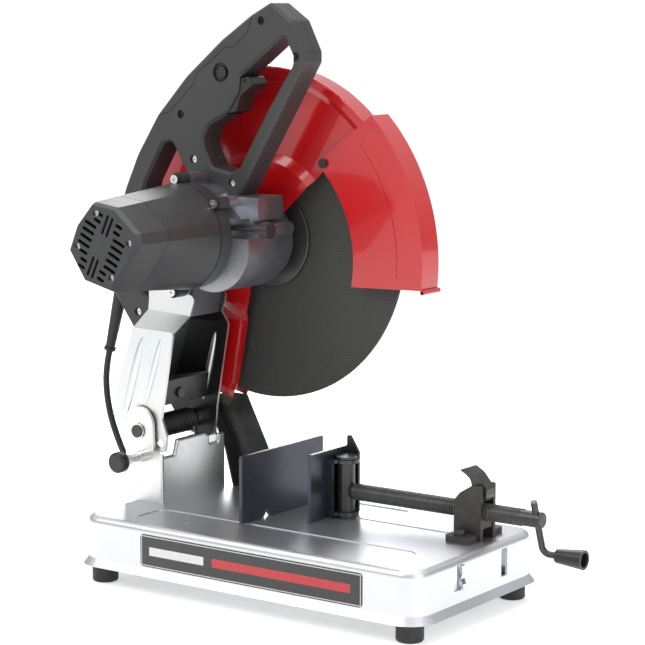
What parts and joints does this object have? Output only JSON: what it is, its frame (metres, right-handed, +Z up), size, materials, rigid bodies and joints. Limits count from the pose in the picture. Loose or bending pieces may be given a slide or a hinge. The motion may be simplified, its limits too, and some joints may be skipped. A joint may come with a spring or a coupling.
{
  "type": "abrasive chop saw",
  "caption": "Chop saw for metal: pivoting arm with motor, gearbox, abrasive wheel and guards over a pan base with fence and screw vice.",
  "frame": {"origin": "on the floor under the middle of the base pan, at the centre of the four foot holes", "axes": "+X towards the vice crank (front), -Y towards the motor end, +Z up"},
  "size_m": [0.634, 0.4, 0.6122],
  "materials": {
    "sheet_steel": "bright zinc-plated pressed steel",
    "zinc_plate": "zinc-plated pressed steel",
    "bolt_steel": "bright zinc-plated",
    "dark_steel": "satin black",
    "red_guard": "gloss red",
    "cast_alloy": "bead-blasted casting",
    "cast_dark": "dark cast",
    "gunmetal": "dark satin",
    "motor_plastic": "fine grained",
    "handle_plastic": "fine grained",
    "black_plastic": "moulded",
    "rubber": "matt",
    "abrasive": "bonded grit",
    "plate_label": "gloss black",
    "copper_iron": "laminations and windings",
    "spring_steel": "oiled black"
  },
  "bodies": {
    "base": {"base_pan": "sheet_steel", "rubber_feet": "rubber", "name_plate": "plate_label", "spanner_clip": "zinc_plate", "pivot_bracket": "zinc_plate", "base_bolts": "bolt_steel", "pivot_shaft": "dark_steel", "shaft_clips": "spring_steel", "return_spring": "spring_steel", "lock_boss": "zinc_plate", "spark_deflector": "dark_steel", "fence_bolts": "bolt_steel", "vice_body": "cast_dark", "vice_bolts": "bolt_steel", "lever_pin": "bolt_steel", "power_cord": "rubber", "cord_coil": "rubber", "mains_plug": "rubber"},
    "fence": {"fence_plate": "gunmetal"},
    "lock_pin": {"lock_pin": "black_plastic"},
    "head": {"arm_channel": "zinc_plate", "arm_bolts": "bolt_steel", "arm_brace": "dark_steel", "arm_bushes": "zinc_plate", "gearbox_housing": "cast_alloy", "gearbox_cover": "cast_alloy", "gearbox_screws": "bolt_steel", "bearings": "bolt_steel", "motor_housing": "motor_plastic", "motor_end_cap": "motor_plastic", "end_cap_screws": "bolt_steel", "motor_screws": "bolt_steel", "stator": "copper_iron", "brush_holders": "black_plastic", "handle_shell_near": "handle_plastic", "handle_shell_far": "handle_plastic", "handle_screws": "bolt_steel", "switch_block": "black_plastic", "strain_relief": "rubber", "fixed_guard": "red_guard", "guard_screws": "bolt_steel", "guard_pivot_bolts": "dark_steel"},
    "wheel": {"abrasive_wheel": "abrasive", "inner_flange": "dark_steel", "outer_flange": "dark_steel", "wheel_bolt": "bolt_steel", "spindle": "bolt_steel", "drive_gear": "bolt_steel"},
    "armature": {"armature": "copper_iron", "cooling_fan": "black_plastic"},
    "front_guard": {"front_guard": "red_guard"},
    "trigger": {"trigger": "handle_plastic"},
    "lock_button": {"lock_button": "black_plastic"},
    "spindle_lock": {"spindle_lock": "black_plastic"},
    "carriage": {"vice_post": "dark_steel"},
    "jaw": {"vice_jaw": "gunmetal"},
    "screw": {"threaded_rod": "dark_steel", "crank_rod": "dark_steel"},
    "grip": {"crank_grip": "black_plastic"},
    "lever": {"release_lever": "cast_dark"}
  },
  "joints": [
    {"name": "arm_pivot", "type": "hinge", "parent": "base", "child": "head", "pos_m": [-0.205, 0, 0.151], "axis": [0, 1, 0], "range_deg": [0, 44], "stiffness_Nm_per_rad": 22, "springref_deg": -35.52},
    {"name": "wheel_spin", "type": "hinge", "parent": "head", "child": "wheel", "pos_m": [-0.121, 0, 0.3575], "axis": [0, 1, 0], "continuous": true},
    {"name": "armature_spin", "type": "hinge", "parent": "head", "child": "armature", "pos_m": [-0.15004, 0, 0.36722], "axis": [0, 1, 0], "continuous": true},
    {"name": "front_guard_hinge", "type": "hinge", "parent": "head", "child": "front_guard", "pos_m": [-0.037, 0, 0.443], "axis": [0, -1, 0], "range_deg": [0, 24.5]},
    {"name": "trigger_pull", "type": "hinge", "parent": "head", "child": "trigger", "pos_m": [-0.103, 0, 0.531], "axis": [0, 1, 0], "range_deg": [0, 7], "stiffness_Nm_per_rad": 0.6, "springref_deg": -5.73},
    {"name": "lock_button_press", "type": "slide", "parent": "head", "child": "lock_button", "axis": [0, 1, 0], "range_m": [0, 0.004], "stiffness_N_per_m": 300, "springref_m": -0.002},
    {"name": "spindle_lock_press", "type": "slide", "parent": "head", "child": "spindle_lock", "axis": [-1, 0, 0], "range_m": [0, 0.005], "stiffness_N_per_m": 500, "springref_m": -0.002},
    {"name": "lock_pin_slide", "type": "slide", "parent": "base", "child": "lock_pin", "axis": [0, 1, 0], "range_m": [0, 0.008]},
    {"name": "fence_swivel", "type": "hinge", "parent": "base", "child": "fence", "pos_m": [-0.064, 0.078, 0.073], "axis": [0, 0, -1], "range_deg": [0, 45]},
    {"name": "vice_slide", "type": "slide", "parent": "base", "child": "carriage", "axis": [1, 0, 0], "range_m": [-0.024, 0.095]},
    {"name": "jaw_swivel", "type": "hinge", "parent": "carriage", "child": "jaw", "pos_m": [0.0214, 0.044, 0.073], "axis": [0, 0, 1], "range_deg": [-25, 25]},
    {"name": "vice_screw_turn", "type": "hinge", "parent": "carriage", "child": "screw", "pos_m": [0.0214, 0.044, 0.1015], "axis": [1, 0, 0], "range_deg": [-2880.1, 11400.1]},
    {"name": "crank_grip_spin", "type": "hinge", "parent": "screw", "child": "grip", "pos_m": [0.27, 0.05768, 0.06391], "axis": [1, 0, 0], "continuous": true},
    {"name": "release_lever_turn", "type": "hinge", "parent": "base", "child": "lever", "pos_m": [0.1885, 0.044, 0.1225], "axis": [0, 1, 0], "range_deg": [0, 60]}
  ],
  "couplings": [
    {"joint": "armature_spin", "follows": "wheel_spin", "ratio": -4.0833},
    {"joint": "front_guard_hinge", "follows": "arm_pivot", "ratio": 0.55},
    {"joint": "vice_screw_turn", "follows": "vice_slide", "rad_per_m": 2094.4}
  ]
}
